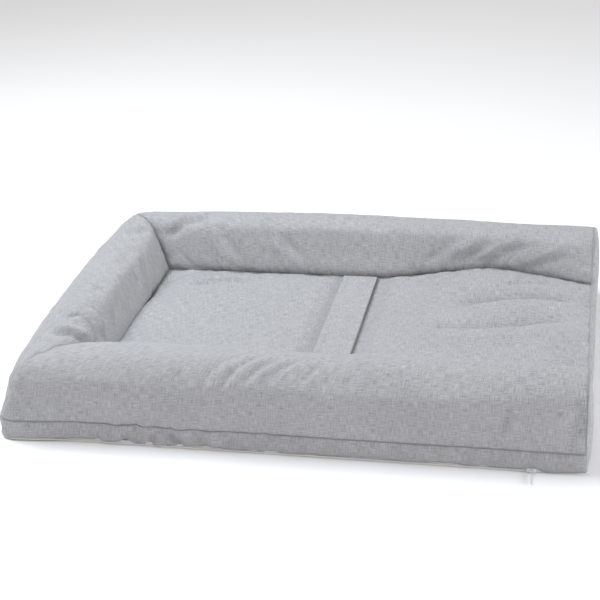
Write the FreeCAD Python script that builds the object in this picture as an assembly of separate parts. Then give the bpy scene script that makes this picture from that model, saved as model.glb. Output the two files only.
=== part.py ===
"""Changing pad: a foam tray with three raised rims inside a zipped fabric cover, with a safety belt.

Frame: +X runs from the head end to the open foot end, +Y from the near side to the far side, +Z up.
The origin is the centre of the underside. All sizes are in millimetres.
Each piece is written to parts/NAME.step.
"""

import FreeCAD, Part
import math
import os

Vector = FreeCAD.Vector

# ---- driving dimensions -------------------------------------------------------------------------
LENGTH = 700.0  # head end to foot end
WIDTH = 500.0  # near side to far side
RIM_HEIGHT = 116.0  # underside to the top of the rims
RIM_WIDTH = 90.0  # outer wall to the crease beside the lying surface
LYING_HEIGHT = 50.0  # underside to the lying surface

CREST_OUTER_R = 34.0  # rounding between the outer wall and the crest
CREST_FLAT = 8.0  # flat stretch on top of the rims
CREST_INNER_R = 26.0  # rounding between the crest and the inner slope
HEAD_CORNER_R = 24.0  # upright corners at the head end, in plan
FOOT_CORNER_R = 10.0  # upright corners at the foot end, in plan
LOWER_EDGE_R = 12.0  # lower edges of the foam and its liner

COVER = 1.2  # cover fabric
LINER = 0.8  # waterproof liner
WADDING = 8.0  # soft layer under the lying surface
SEAM_HEIGHT = 28.0  # underside to the seam between the rim panels and the lower band
PIPING_PROUD = 1.2  # the raised foot-end seam stands this far off the cover
PIPING_WIDTH = 2.4

# Zip: a closed coil zip in the lower edge of the cover, round the near, head and far sides.
ZIP_END_X = 297.0  # both ends of the zip tapes
ZIP_HEIGHT = 5.0  # both tapes together, above the base panel
ZIP_GAP = 0.6  # between the two tapes
TAPE_INSET = 0.3  # tape's outer face behind the cover's outer face
TAPE = 0.6
COIL_WIDTH = 1.2  # each coil row, across the zip
COIL_PROUD = 0.9  # coils stand this far out of the cover's outer face
STOP_LENGTH = 1.5
STOP_SETBACK = 2.0  # stop to the end of the tapes
STOP_PROUD = 0.3  # stops stand this far off the coils

SLIDER_LENGTH = 11.0
SLIDER_PLATE = 1.0  # outer plate
SLIDER_BACK_PLATE = 0.8
SLIDER_HEIGHT = 4.8
SLIDER_CLEARANCE = 0.4  # plates to coils and to tape
SLIDER_FLANGE = 0.65
SLIDER_WEB = 0.3  # neck between the two coil rows
SLIDER_WEB_LENGTH = 3.0
SLIDER_STOP_GAP = 1.0
BAIL_GAP = 1.7  # room under the bail
BAIL_BAR = 0.8
BAIL_LENGTH = 5.8
BAIL_HEIGHT = 1.0  # across the zip
PULL_LENGTH = 24.0  # crossbar centre to the tip
PULL_WIDTH = 3.2
PULL_THICKNESS = 0.9
PULL_RING = 4.0  # crossbar centre to the end of the ring's opening
PULL_RING_WIDTH = 1.8  # ring's opening, across the zip
PULL_DROOP = 3.0  # degrees below level

# Safety belt: a long strap from the far crease fastens on a shorter one from the near crease.
BELT_X = 24.0  # middle of the belt
BELT_WIDTH = 48.0
STRAP = 1.8
STRAP_CORNER_R = 12.0
BELT_REST_GAP = 0.6  # lying surface to the near strap
PATCH = 0.8  # hook patch and loop patch, each
PATCH_WIDTH = 38.0
PATCH_GAP = 0.3
PATCH_MARGIN = 6.0  # patch to the strap's tip
HOOK_LENGTH = 90.0
HINGE_SETBACK = 4.0  # crease to the line where a strap turns
HINGE_GAP = 2.0  # anchor to that line
FOLD_GAP = 1.2  # first strap section to the fold line
FAR_ROOT_LENGTH = 80.0  # far hinge line to the fold line
FAR_TIP_GAP = 20.0  # far strap's tip to the near hinge line
NEAR_STRAP_LENGTH = 190.0  # near hinge line to the near strap's tip

# ---- derived places -----------------------------------------------------------------------------
HEAD_X = -LENGTH / 2
FOOT_X = LENGTH / 2
NEAR_Y = -WIDTH / 2
FAR_Y = WIDTH / 2
MARGIN = 20.0  # how far cutting shapes reach past the pad
TOP = RIM_HEIGHT + MARGIN

LINER_INSET = COVER
FOAM_INSET = COVER + LINER
WADDING_TOP = LYING_HEIGHT - COVER
LINER_TOP = WADDING_TOP - WADDING
FOAM_TOP = LINER_TOP - LINER

ZIP_BOTTOM = COVER
ZIP_TOP = ZIP_BOTTOM + ZIP_HEIGHT
ZIP_MIDDLE = (ZIP_BOTTOM + ZIP_TOP) / 2
STOP_X = ZIP_END_X - STOP_SETBACK - STOP_LENGTH
SLIDER_X = STOP_X - SLIDER_STOP_GAP - SLIDER_LENGTH / 2

BELT_X0 = BELT_X - BELT_WIDTH / 2
BELT_X1 = BELT_X + BELT_WIDTH / 2
CREASE_NEAR_Y = NEAR_Y + RIM_WIDTH
CREASE_FAR_Y = FAR_Y - RIM_WIDTH
NEAR_HINGE_Y = CREASE_NEAR_Y + HINGE_SETBACK
FAR_HINGE_Y = CREASE_FAR_Y - HINGE_SETBACK
FOLD_Y = FAR_HINGE_Y - FAR_ROOT_LENGTH
FAR_TIP_Y = NEAR_HINGE_Y + FAR_TIP_GAP
NEAR_TIP_Y = NEAR_HINGE_Y + NEAR_STRAP_LENGTH
NEAR_STRAP_Z = LYING_HEIGHT + BELT_REST_GAP + STRAP / 2
LOOP_Z = NEAR_STRAP_Z + STRAP / 2
HOOK_Z = LOOP_Z + PATCH + PATCH_GAP
FAR_STRAP_Z = HOOK_Z + PATCH + STRAP / 2


# ---- general shapes -----------------------------------------------------------------------------
def box(x0, x1, y0, y1, z0, z1):
    """A box between two corners."""
    return Part.makeBox(x1 - x0, y1 - y0, z1 - z0, Vector(x0, y0, z0))


def rod(start, end, radius):
    """A round rod between two points."""
    axis = end - start
    return Part.makeCylinder(radius, axis.Length, start, axis)


def polygon_prism(points, z0, z1):
    """An upright prism on a polygon given in plan."""
    corners = [Vector(x, y, z0) for x, y in points]
    face = Part.Face(Part.makePolygon(corners + corners[:1]))
    return face.extrude(Vector(0, 0, z1 - z0))


def save(name, shape):
    """Writes one piece and prints what it measures."""
    clean = shape.removeSplitter()
    solids = clean.Solids
    shape_out = solids[0] if len(solids) == 1 else Part.Compound(solids)
    if not solids or not all(s.isValid() and s.Volume > 0 for s in solids):
        raise ValueError(f"{name} is not a set of valid solids")
    shape_out.exportStep(os.path.join("parts", name + ".step"))
    print(f"{name:18s} {len(solids):3d} solid(s) {shape_out.Volume / 1000:10.2f} cm3")


# ---- the pad's form -----------------------------------------------------------------------------
def rounded_block(x0, x1, y0, y1, z0, z1, radius):
    """A box with its four upright edges rounded."""
    block = box(x0, x1, y0, y1, z0, z1)
    upright = [e for e in block.Edges if abs(e.Vertexes[0].Z - e.Vertexes[1].Z) > 0.01]
    return block.makeFillet(radius, upright)


def outline(inset, z0, z1):
    """The pad's plan with rounded corners, set in from its outer wall, as an upright prism."""
    y0 = NEAR_Y + inset
    y1 = FAR_Y - inset
    head_r = HEAD_CORNER_R - inset
    foot_r = FOOT_CORNER_R - inset
    head_end = rounded_block(HEAD_X + inset, FOOT_X + LENGTH, y0, y1, z0, z1, head_r)
    foot_end = rounded_block(HEAD_X - LENGTH, FOOT_X - inset, y0, y1, z0, z1, foot_r)
    return head_end.common(foot_end)


def ring(outer_inset, inner_inset, z0, z1):
    """An upright wall that follows the pad's plan."""
    return outline(outer_inset, z0, z1).cut(outline(inner_inset, z0, z1))


def slope_angle():
    """Angle above level of the normal to a rim's inner slope."""
    centre_u = CREST_OUTER_R + CREST_FLAT
    centre_z = RIM_HEIGHT - CREST_INNER_R
    du = RIM_WIDTH - centre_u
    dz = LYING_HEIGHT - centre_z
    return math.atan2(dz, du) + math.acos(CREST_INNER_R / math.hypot(du, dz))


def rim_face(inset, floor, place):
    """A rim's cross-section: u is the distance in from the outer wall, and place(u, z) sets it in the pad."""
    a = slope_angle()
    crest_z = RIM_HEIGHT - inset
    outer_r = CREST_OUTER_R - inset
    inner_r = CREST_INNER_R - inset
    outer_z = RIM_HEIGHT - CREST_OUTER_R
    inner_u = CREST_OUTER_R + CREST_FLAT
    inner_z = RIM_HEIGHT - CREST_INNER_R
    turn = math.radians(45)
    half = (a + math.radians(90)) / 2
    slope_u = inner_u + inner_r * math.cos(a)
    slope_z = inner_z + inner_r * math.sin(a)
    foot_u = slope_u + (slope_z - floor) * math.tan(a)
    outer_mid = place(
        CREST_OUTER_R - outer_r * math.cos(turn), outer_z + outer_r * math.sin(turn)
    )
    inner_mid = place(
        inner_u + inner_r * math.cos(half), inner_z + inner_r * math.sin(half)
    )
    edges = [
        Part.LineSegment(place(inset, floor), place(inset, outer_z)),
        Part.Arc(place(inset, outer_z), outer_mid, place(CREST_OUTER_R, crest_z)),
        Part.LineSegment(place(CREST_OUTER_R, crest_z), place(inner_u, crest_z)),
        Part.Arc(place(inner_u, crest_z), inner_mid, place(slope_u, slope_z)),
        Part.LineSegment(place(slope_u, slope_z), place(foot_u, floor)),
        Part.LineSegment(place(foot_u, floor), place(inset, floor)),
    ]
    return Part.Face(Part.Wire([e.toShape() for e in edges]))


def region(side, z0=-MARGIN, z1=TOP):
    """The share of the plan that belongs to one rim, bounded by the mitre lines from the head corners."""
    meet = (HEAD_X + WIDTH / 2, 0)
    near_corner = (HEAD_X - MARGIN, NEAR_Y - MARGIN)
    far_corner = (HEAD_X - MARGIN, FAR_Y + MARGIN)
    foot = FOOT_X + MARGIN
    plans = {
        "head": [near_corner, meet, far_corner],
        "near": [near_corner, (foot, NEAR_Y - MARGIN), (foot, 0), meet],
        "far": [far_corner, meet, (foot, 0), (foot, FAR_Y + MARGIN)],
    }
    return polygon_prism(plans[side], z0, z1)


def rim(side, inset, floor):
    """One rim, from the given floor up, mitred at the head corners."""
    if side == "head":
        face = rim_face(inset, floor, lambda u, z: Vector(HEAD_X + u, NEAR_Y, z))
        return face.extrude(Vector(0, WIDTH, 0)).common(region(side))
    if side == "near":
        face = rim_face(inset, floor, lambda u, z: Vector(HEAD_X, NEAR_Y + u, z))
    else:
        face = rim_face(inset, floor, lambda u, z: Vector(HEAD_X, FAR_Y - u, z))
    return face.extrude(Vector(LENGTH - inset, 0, 0)).common(region(side))


def rims(inset, floor):
    """All three rims as one solid."""
    return rim("head", inset, floor).fuse([rim("near", inset, floor), rim("far", inset, floor)])


def form(inset, floor, lying_height):
    """The pad's whole form, set in from its outer faces."""
    slab = outline(inset, floor, lying_height)
    return slab.fuse(rims(inset, floor).common(outline(inset, floor, TOP)))


def round_lower_edges(shape, inset, floor):
    """Rounds the lower edges of a form, along the pad and across it."""
    r = LOWER_EDGE_R - (inset - LINER_INSET)
    trims = []
    for half, across in ((LENGTH / 2 - inset, False), (WIDTH / 2 - inset, True)):
        def at(s, z):
            return Vector(HEAD_X, s, z) if across else Vector(s, NEAR_Y, z)

        turn = r * (1 - math.sin(math.radians(45)))
        edges = [
            Part.LineSegment(at(-half + r, floor), at(half - r, floor)),
            Part.Arc(at(half - r, floor), at(half - turn, floor + turn), at(half, floor + r)),
            Part.LineSegment(at(half, floor + r), at(half, TOP)),
            Part.LineSegment(at(half, TOP), at(-half, TOP)),
            Part.LineSegment(at(-half, TOP), at(-half, floor + r)),
            Part.Arc(at(-half, floor + r), at(-half + turn, floor + turn), at(-half + r, floor)),
        ]
        face = Part.Face(Part.Wire([e.toShape() for e in edges]))
        trims.append(face.extrude(Vector(LENGTH, 0, 0) if across else Vector(0, WIDTH, 0)))
    return shape.common(trims[0]).common(trims[1])


# ---- foam, liner and wadding --------------------------------------------------------------------
def build_filling():
    liner_form = round_lower_edges(form(LINER_INSET, COVER, LINER_TOP), LINER_INSET, COVER)
    foam_floor = COVER + LINER
    foam_form = round_lower_edges(form(FOAM_INSET, foam_floor, FOAM_TOP), FOAM_INSET, foam_floor)
    weld_z = COVER + LOWER_EDGE_R
    everywhere = (HEAD_X - MARGIN, FOOT_X + MARGIN, NEAR_Y - MARGIN, FAR_Y + MARGIN)
    above_slab = box(*everywhere, FOAM_TOP, TOP)
    below_slab = box(*everywhere, 0, FOAM_TOP)
    save("base_foam", foam_form.common(below_slab))
    for side in ("head", "near", "far"):
        save(f"{side}_rim_foam", foam_form.common(above_slab).common(region(side)))
    liner = liner_form.cut(foam_form)
    save("liner_top", liner.common(box(*everywhere, weld_z, TOP)))
    save("liner_base", liner.common(box(*everywhere, 0, weld_z)))
    wadding = outline(COVER, LINER_TOP, WADDING_TOP).cut(rims(COVER, COVER))
    save("wadding_pad", wadding)


# ---- cover --------------------------------------------------------------------------------------
def build_cover():
    shell = form(0, 0, LYING_HEIGHT).cut(form(COVER, COVER, LYING_HEIGHT - COVER))
    foot_wall_x = FOOT_X - COVER
    across = (NEAR_Y - MARGIN, FAR_Y + MARGIN)
    before_foot = box(HEAD_X - MARGIN, foot_wall_x, *across, -MARGIN, TOP)
    above_seam = shell.common(box(HEAD_X - MARGIN, foot_wall_x, *across, SEAM_HEIGHT, TOP))
    along = (HEAD_X - MARGIN, FOOT_X + MARGIN)
    strips = {
        "head": box(HEAD_X - MARGIN, HEAD_X + RIM_WIDTH, *across, 0, TOP),
        "near": box(*along, NEAR_Y - MARGIN, CREASE_NEAR_Y, 0, TOP),
        "far": box(*along, CREASE_FAR_Y, FAR_Y + MARGIN, 0, TOP),
    }
    band = ring(0, COVER, ZIP_TOP, SEAM_HEIGHT)
    past_zip = box(ZIP_END_X, foot_wall_x, *across, 0, ZIP_TOP)
    band = band.fuse(ring(0, COVER, COVER, ZIP_TOP).common(past_zip)).common(before_foot)
    for side, strip in strips.items():
        save(f"{side}_rim_panel", above_seam.common(strip).common(region(side)))
        save(f"{side}_band", band.common(region(side)))
    centre = box(HEAD_X + RIM_WIDTH, foot_wall_x, CREASE_NEAR_Y, CREASE_FAR_Y, SEAM_HEIGHT, TOP)
    save("centre_panel", above_seam.common(centre))
    foot_wall = box(foot_wall_x, FOOT_X + MARGIN, *across, COVER, TOP)
    save("foot_end_panel", shell.common(foot_wall))
    save("base_panel", outline(0, 0, COVER))
    proud = form(-PIPING_PROUD, 0, LYING_HEIGHT + PIPING_PROUD)
    piping_zone = box(foot_wall_x - PIPING_WIDTH, foot_wall_x, *across, SEAM_HEIGHT, TOP)
    save("foot_seam_piping", proud.cut(form(0, 0, LYING_HEIGHT)).common(piping_zone))


# ---- zip ----------------------------------------------------------------------------------------
def build_zip():
    before_end = box(HEAD_X - MARGIN, ZIP_END_X, NEAR_Y - MARGIN, FAR_Y + MARGIN, 0, TOP)
    edge = ZIP_GAP / 2
    tape = (TAPE_INSET, TAPE_INSET + TAPE)
    coil = (-COIL_PROUD, TAPE_INSET)
    rows = {
        "zip_tape_upper": ring(*tape, ZIP_MIDDLE + edge, ZIP_TOP),
        "zip_tape_lower": ring(*tape, ZIP_BOTTOM, ZIP_MIDDLE - edge),
        "zip_coil_upper": ring(*coil, ZIP_MIDDLE + edge, ZIP_MIDDLE + edge + COIL_WIDTH),
        "zip_coil_lower": ring(*coil, ZIP_MIDDLE - edge - COIL_WIDTH, ZIP_MIDDLE - edge),
    }
    for name, row in rows.items():
        save(name, row.common(before_end))
    face = COIL_PROUD  # stops sit on the coils' outer faces
    stop_x1 = STOP_X + STOP_LENGTH
    near_stops = [
        box(STOP_X, stop_x1, NEAR_Y - face - STOP_PROUD, NEAR_Y - face, z, z + COIL_WIDTH)
        for z in (ZIP_MIDDLE + edge, ZIP_MIDDLE - edge - COIL_WIDTH)
    ]
    save("zip_top_stops", Part.Compound(near_stops))
    z0 = ZIP_MIDDLE - edge - COIL_WIDTH
    z1 = ZIP_MIDDLE + edge + COIL_WIDTH
    save("zip_bottom_stop", box(STOP_X, stop_x1, FAR_Y + face, FAR_Y + face + STOP_PROUD, z0, z1))


def build_slider():
    z0 = ZIP_MIDDLE - SLIDER_HEIGHT / 2
    z1 = ZIP_MIDDLE + SLIDER_HEIGHT / 2
    x0 = SLIDER_X - SLIDER_LENGTH / 2
    x1 = SLIDER_X + SLIDER_LENGTH / 2
    plate_in = NEAR_Y - COIL_PROUD - SLIDER_CLEARANCE
    plate_out = plate_in - SLIDER_PLATE
    flange_in = NEAR_Y + TAPE_INSET - SLIDER_CLEARANCE
    back_out = NEAR_Y + TAPE_INSET + TAPE + SLIDER_CLEARANCE
    back_in = back_out + SLIDER_BACK_PLATE
    pieces = [
        box(x0, x1, plate_out, plate_in, z0, z1),
        box(x0, x1, plate_in, flange_in, z0, z0 + SLIDER_FLANGE),
        box(x0, x1, plate_in, flange_in, z1 - SLIDER_FLANGE, z1),
        box(x0, x1, back_out, back_in, z0, z1),
    ]
    plates = pieces[0].fuse(pieces[1:])
    corners = [
        e
        for e in plates.Edges
        if abs(e.tangentAt(e.FirstParameter).y) > 0.99
        and min(abs(e.CenterOfMass.x - x0), abs(e.CenterOfMass.x - x1)) < 0.01
        and min(abs(e.CenterOfMass.z - z0), abs(e.CenterOfMass.z - z1)) < 0.01
    ]
    plates = plates.makeFillet(SLIDER_FLANGE * 0.9, corners)
    half_web = SLIDER_WEB / 2
    web = box(
        x1 - SLIDER_WEB_LENGTH, x1, plate_in, back_out, ZIP_MIDDLE - half_web, ZIP_MIDDLE + half_web
    )
    bail_z = (ZIP_MIDDLE - BAIL_HEIGHT / 2, ZIP_MIDDLE + BAIL_HEIGHT / 2)
    bail_x0 = SLIDER_X - BAIL_LENGTH / 2
    bail_x1 = SLIDER_X + BAIL_LENGTH / 2
    bail_in = plate_out - BAIL_GAP
    bail_out = bail_in - BAIL_BAR
    bail = box(bail_x0, bail_x1, bail_out, plate_out, *bail_z)
    bail = bail.cut(box(bail_x0 + BAIL_BAR, bail_x1 - BAIL_BAR, bail_in, plate_out, *bail_z))
    save("zip_slider", plates.fuse([web, bail]))
    return Vector(SLIDER_X, plate_out - BAIL_GAP / 2, ZIP_MIDDLE)


def build_pull(pivot):
    """The pull tab, made lying along -Y from its crossbar and then drooped about it."""
    half_w = PULL_WIDTH / 2
    half_t = PULL_THICKNESS / 2
    half_open = PULL_RING_WIDTH / 2
    x0, x1 = pivot.x - half_t, pivot.x + half_t
    z = pivot.z
    tip_y = pivot.y - PULL_LENGTH
    blade = box(x0, x1, tip_y, pivot.y, z - half_w, z + half_w)
    tip = [
        e
        for e in blade.Edges
        if abs(e.tangentAt(e.FirstParameter).x) > 0.99 and abs(e.CenterOfMass.y - tip_y) < 0.01
    ]
    blade = blade.makeFillet(half_w * 0.8, tip)
    opening = box(x0, x1, pivot.y - PULL_RING, pivot.y, z - half_open, z + half_open)
    crossbar = rod(Vector(pivot.x, pivot.y, z - half_w), Vector(pivot.x, pivot.y, z + half_w), half_t)
    pull = blade.cut(opening).fuse(crossbar)
    pull.rotate(pivot, Vector(1, 0, 0), PULL_DROOP)
    save("zip_pull_tab", pull)


# ---- belt ---------------------------------------------------------------------------------------
def strap_section(y_root, y_end, z, rounded_tip):
    """A flat strap from its turning line at y_root to y_end, with a full-round root edge."""
    half = STRAP / 2
    plate = box(BELT_X0, BELT_X1, min(y_root, y_end), max(y_root, y_end), z - half, z + half)
    if rounded_tip:
        tip = [
            e
            for e in plate.Edges
            if abs(e.tangentAt(e.FirstParameter).z) > 0.99 and abs(e.CenterOfMass.y - y_end) < 0.01
        ]
        plate = plate.makeFillet(STRAP_CORNER_R, tip)
    root = rod(Vector(BELT_X0, y_root, z), Vector(BELT_X1, y_root, z), half)
    return plate.fuse(root)


def build_belt():
    half = STRAP / 2
    save("belt_far_root", strap_section(FAR_HINGE_Y, FOLD_Y + FOLD_GAP, FAR_STRAP_Z, False))
    save("belt_far_tip", strap_section(FOLD_Y, FAR_TIP_Y, FAR_STRAP_Z, True))
    save("belt_near_strap", strap_section(NEAR_HINGE_Y, NEAR_TIP_Y, NEAR_STRAP_Z, True))
    patch_x = (BELT_X - PATCH_WIDTH / 2, BELT_X + PATCH_WIDTH / 2)
    hook_y = FAR_TIP_Y + PATCH_MARGIN
    save("belt_hook_patch", box(*patch_x, hook_y, hook_y + HOOK_LENGTH, HOOK_Z, HOOK_Z + PATCH))
    loop_end = NEAR_TIP_Y - PATCH_MARGIN
    save("belt_loop_patch", box(*patch_x, hook_y, loop_end, LOOP_Z, LOOP_Z + PATCH))
    belt_x = (BELT_X0, BELT_X1)
    far_anchor = (FAR_HINGE_Y + HINGE_GAP, CREASE_FAR_Y)
    near_anchor = (CREASE_NEAR_Y, NEAR_HINGE_Y - HINGE_GAP)
    save("belt_far_anchor", box(*belt_x, *far_anchor, LYING_HEIGHT, FAR_STRAP_Z + half))
    save("belt_near_anchor", box(*belt_x, *near_anchor, LYING_HEIGHT, NEAR_STRAP_Z + half))
    print(f"far hinge y {FAR_HINGE_Y} z {FAR_STRAP_Z}, fold y {FOLD_Y}")
    print(f"near hinge y {NEAR_HINGE_Y} z {NEAR_STRAP_Z}")


def main():
    os.makedirs("parts", exist_ok=True)
    build_filling()
    build_cover()
    build_zip()
    pivot = build_slider()
    build_pull(pivot)
    build_belt()
    print(f"pull tab pivot {tuple(round(v, 3) for v in pivot)}")
    print(f"slider travel {SLIDER_X - (HEAD_X + HEAD_CORNER_R + SLIDER_LENGTH / 2 + SLIDER_STOP_GAP)}")


main()
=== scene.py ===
import math

import bmesh
import bpy
import numpy as np
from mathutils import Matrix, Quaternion, Vector, noise
from mathutils.kdtree import KDTree


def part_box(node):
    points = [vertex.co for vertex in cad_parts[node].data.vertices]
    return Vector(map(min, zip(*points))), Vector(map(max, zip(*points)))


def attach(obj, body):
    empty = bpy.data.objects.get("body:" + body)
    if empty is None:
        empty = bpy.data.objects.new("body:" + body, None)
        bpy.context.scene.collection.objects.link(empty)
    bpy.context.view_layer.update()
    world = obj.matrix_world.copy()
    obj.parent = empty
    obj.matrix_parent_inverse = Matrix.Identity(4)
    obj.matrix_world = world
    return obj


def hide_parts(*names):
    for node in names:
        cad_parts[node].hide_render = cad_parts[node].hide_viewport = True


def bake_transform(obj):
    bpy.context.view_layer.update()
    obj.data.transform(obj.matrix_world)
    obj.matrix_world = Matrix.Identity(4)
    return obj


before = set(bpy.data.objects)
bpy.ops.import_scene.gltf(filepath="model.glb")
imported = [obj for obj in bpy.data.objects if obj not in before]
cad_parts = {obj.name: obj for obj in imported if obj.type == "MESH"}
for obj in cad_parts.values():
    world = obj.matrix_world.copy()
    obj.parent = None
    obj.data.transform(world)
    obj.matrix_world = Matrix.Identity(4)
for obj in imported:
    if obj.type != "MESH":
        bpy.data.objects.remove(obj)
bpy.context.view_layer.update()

# ---- places read from the frame, in metres ----
BASE_LOW, BASE_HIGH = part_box("base_panel")
HEAD_X, FOOT_X = BASE_LOW.x, BASE_HIGH.x
NEAR_Y, FAR_Y = BASE_LOW.y, BASE_HIGH.y
SEAM_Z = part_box("near_rim_panel")[0].z
CREST_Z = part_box("near_rim_panel")[1].z
CREASE_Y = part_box("centre_panel")[1].y
LYING_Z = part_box("centre_panel")[1].z
RIM_WIDTH = FAR_Y - CREASE_Y
ZIP_END_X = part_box("zip_tape_upper")[1].x
ZIP_TOP_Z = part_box("zip_tape_upper")[1].z
SLIDER_X = (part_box("zip_slider")[0].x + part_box("zip_slider")[1].x) / 2
BELT_X0, BELT_X1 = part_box("belt_near_strap")[0].x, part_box("belt_near_strap")[1].x
BELT_X = (BELT_X0 + BELT_X1) / 2

# ---- sizes of the visual cover, in metres ----
STEP = 0.0046  # spacing of the cover's grid
CREST_OUTER_R = 0.034
CREST_FLAT = 0.008
CREST_INNER_R = 0.026
HEAD_CORNER_R = 0.020  # upright corners at the head end, in plan
FOOT_ROUND = 0.0035  # rounding from the cover's sides into the end panel
# How far the head wall leans in (more than 0) at each height.
HEAD_LEAN_Z = [0.000, 0.028, 0.050, 0.075, 0.100, 0.116]
HEAD_LEAN_X = [-0.0165, -0.0185, -0.0090, 0.0008, 0.0035, 0.0030]
CLOTH = 0.0010  # thickness of the cover
UNDERSIDE = 0.0009  # thickness of the underside
NEAR_FLARE = 0.0075  # the near side's bulge beside the head corner
FOOT_LIFT = 0.0028  # the lower edge's rise off the floor at the foot end
FOOT_FLARE = 0.0025  # the near side's bulge towards the foot end
FOAM_GAP = 0.011  # cover to the rims' foam
BAND_ROWS = 5
BAND_FLARE = 0.0014  # the lower band's edge stands off the zip by this
WELD = 0.0004  # panel edges closer than this are the same edge

# The cloth simulation of the cover.
CLOTH_FRAMES = 20
CLOTH_REACH = 0.0045  # no point moves further
CLOTH_PRESSURE = 4.0
CLOTH_GROWTH = 0.022  # the cloth is cut this share too large

PANELS = ["centre", "head_rim", "near_rim", "far_rim", "head_band", "near_band", "far_band", "foot_end"]


# ---- small helpers ----
def smooth(t):
    """0 below 0, 1 above 1, and a soft step between."""
    t = np.clip(t, 0.0, 1.0)
    return t * t * (3 - 2 * t)


def noise_at(points, size, seed):
    """A smooth random value from about -1 to 1 at each point."""
    scaled = np.asarray(points) / size + seed * 17.31
    return np.array([noise.noise(Vector(p)) for p in scaled])


def new_object(name, verts, faces):
    """A mesh object of these points and faces, in the scene."""
    mesh = bpy.data.meshes.new(name)
    mesh.from_pydata([tuple(v) for v in verts], [], faces)
    mesh.update()
    obj = bpy.data.objects.new(name, mesh)
    bpy.context.scene.collection.objects.link(obj)
    return obj


def coordinates(obj):
    """Every vertex's place, as rows of an array."""
    co = np.empty(len(obj.data.vertices) * 3)
    obj.data.vertices.foreach_get("co", co)
    return co.reshape(-1, 3)


def normals(obj):
    """Every vertex's normal, as rows of an array."""
    n = np.empty(len(obj.data.vertices) * 3)
    obj.data.vertices.foreach_get("normal", n)
    return n.reshape(-1, 3)


def set_coordinates(obj, points):
    """Moves every vertex to its row of points."""
    obj.data.vertices.foreach_set("co", np.asarray(points, float).ravel())
    obj.data.update()


def apply_modifiers(obj):
    """Makes the modified shape the mesh's own."""
    graph = bpy.context.evaluated_depsgraph_get()
    mesh = bpy.data.meshes.new_from_object(obj.evaluated_get(graph), depsgraph=graph)
    obj.modifiers.clear()
    obj.data = mesh


def shade_smooth(obj):
    """Shades every face as part of a curved surface."""
    obj.data.polygons.foreach_set("use_smooth", [True] * len(obj.data.polygons))


def face_outward(obj, weld=0.0):
    """Joins points closer than the weld distance, if there is one, and turns the faces outward."""
    work = bmesh.new()
    work.from_mesh(obj.data)
    if weld:
        bmesh.ops.remove_doubles(work, verts=work.verts, dist=weld)
    bmesh.ops.recalc_face_normals(work, faces=work.faces)
    work.to_mesh(obj.data)
    work.free()


def add_thickness(obj, thickness, offset):
    """Gives a cloth its thickness, and shades it smooth."""
    thick = obj.modifiers.new("thickness", "SOLIDIFY")
    thick.thickness = thickness
    thick.offset = offset
    apply_modifiers(obj)
    shade_smooth(obj)


def unit(vectors):
    """Each row scaled to length 1."""
    return vectors / np.linalg.norm(vectors, axis=1)[:, None]


def lengths_along(points):
    """The distance along a line of points to each of them."""
    steps = np.linalg.norm(np.diff(points, axis=0), axis=1)
    return np.concatenate([[0.0], np.cumsum(steps)])


# ---- the rim's cross-section ----
def straight(p, q):
    """Evenly spaced points from after p to q."""
    n = max(1, round(math.dist(p, q) / STEP))
    return [(p[0] + (q[0] - p[0]) * i / n, p[1] + (q[1] - p[1]) * i / n) for i in range(1, n + 1)]


def arc(centre, radius, start, end):
    """Evenly spaced points on an arc, from after its start to its end."""
    n = max(3, round(radius * abs(end - start) / STEP))
    turns = [start + (end - start) * i / n for i in range(1, n + 1)]
    return [(centre[0] + radius * math.cos(t), centre[1] + radius * math.sin(t)) for t in turns]


def rim_profile():
    """Points (distance in from the wall, height) from the band seam over the crest to the crease."""
    outer = (CREST_OUTER_R, CREST_Z - CREST_OUTER_R)
    inner = (CREST_OUTER_R + CREST_FLAT, CREST_Z - CREST_INNER_R)
    to_crease = (RIM_WIDTH - inner[0], LYING_Z - inner[1])
    slope = math.atan2(to_crease[1], to_crease[0]) + math.acos(CREST_INNER_R / math.hypot(*to_crease))
    points = [(0.0, SEAM_Z)]
    points += straight(points[-1], (0.0, outer[1]))
    points += arc(outer, CREST_OUTER_R, math.pi, math.pi / 2)
    points += straight(points[-1], (inner[0], CREST_Z))
    points += arc(inner, CREST_INNER_R, math.pi / 2, slope)
    points += straight(points[-1], (RIM_WIDTH, LYING_Z))
    return np.array(points)


# ---- the cover as a grid of panels ----
def round_corner(a, b, u):
    """Moves a point near an upright head corner on to the rounded corner; a and b are its distances
    from the head wall and the side wall, and u from the outer wall."""
    r = HEAD_CORNER_R
    if a >= r or b >= r or u >= r:
        return a, b
    along = (r - max(a, b)) / (r - u)
    turn = math.radians(45) * along
    far, near = r - (r - u) * math.sin(turn), r - (r - u) * math.cos(turn)
    return (far, near) if a >= b else (near, far)


def head_lean(x, z):
    """How far the stuffed head wall stands out (below) or leans in (above)."""
    return float(np.interp(z, HEAD_LEAN_Z, HEAD_LEAN_X)) * float(smooth(1 - (x - HEAD_X) / 0.06))


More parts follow.
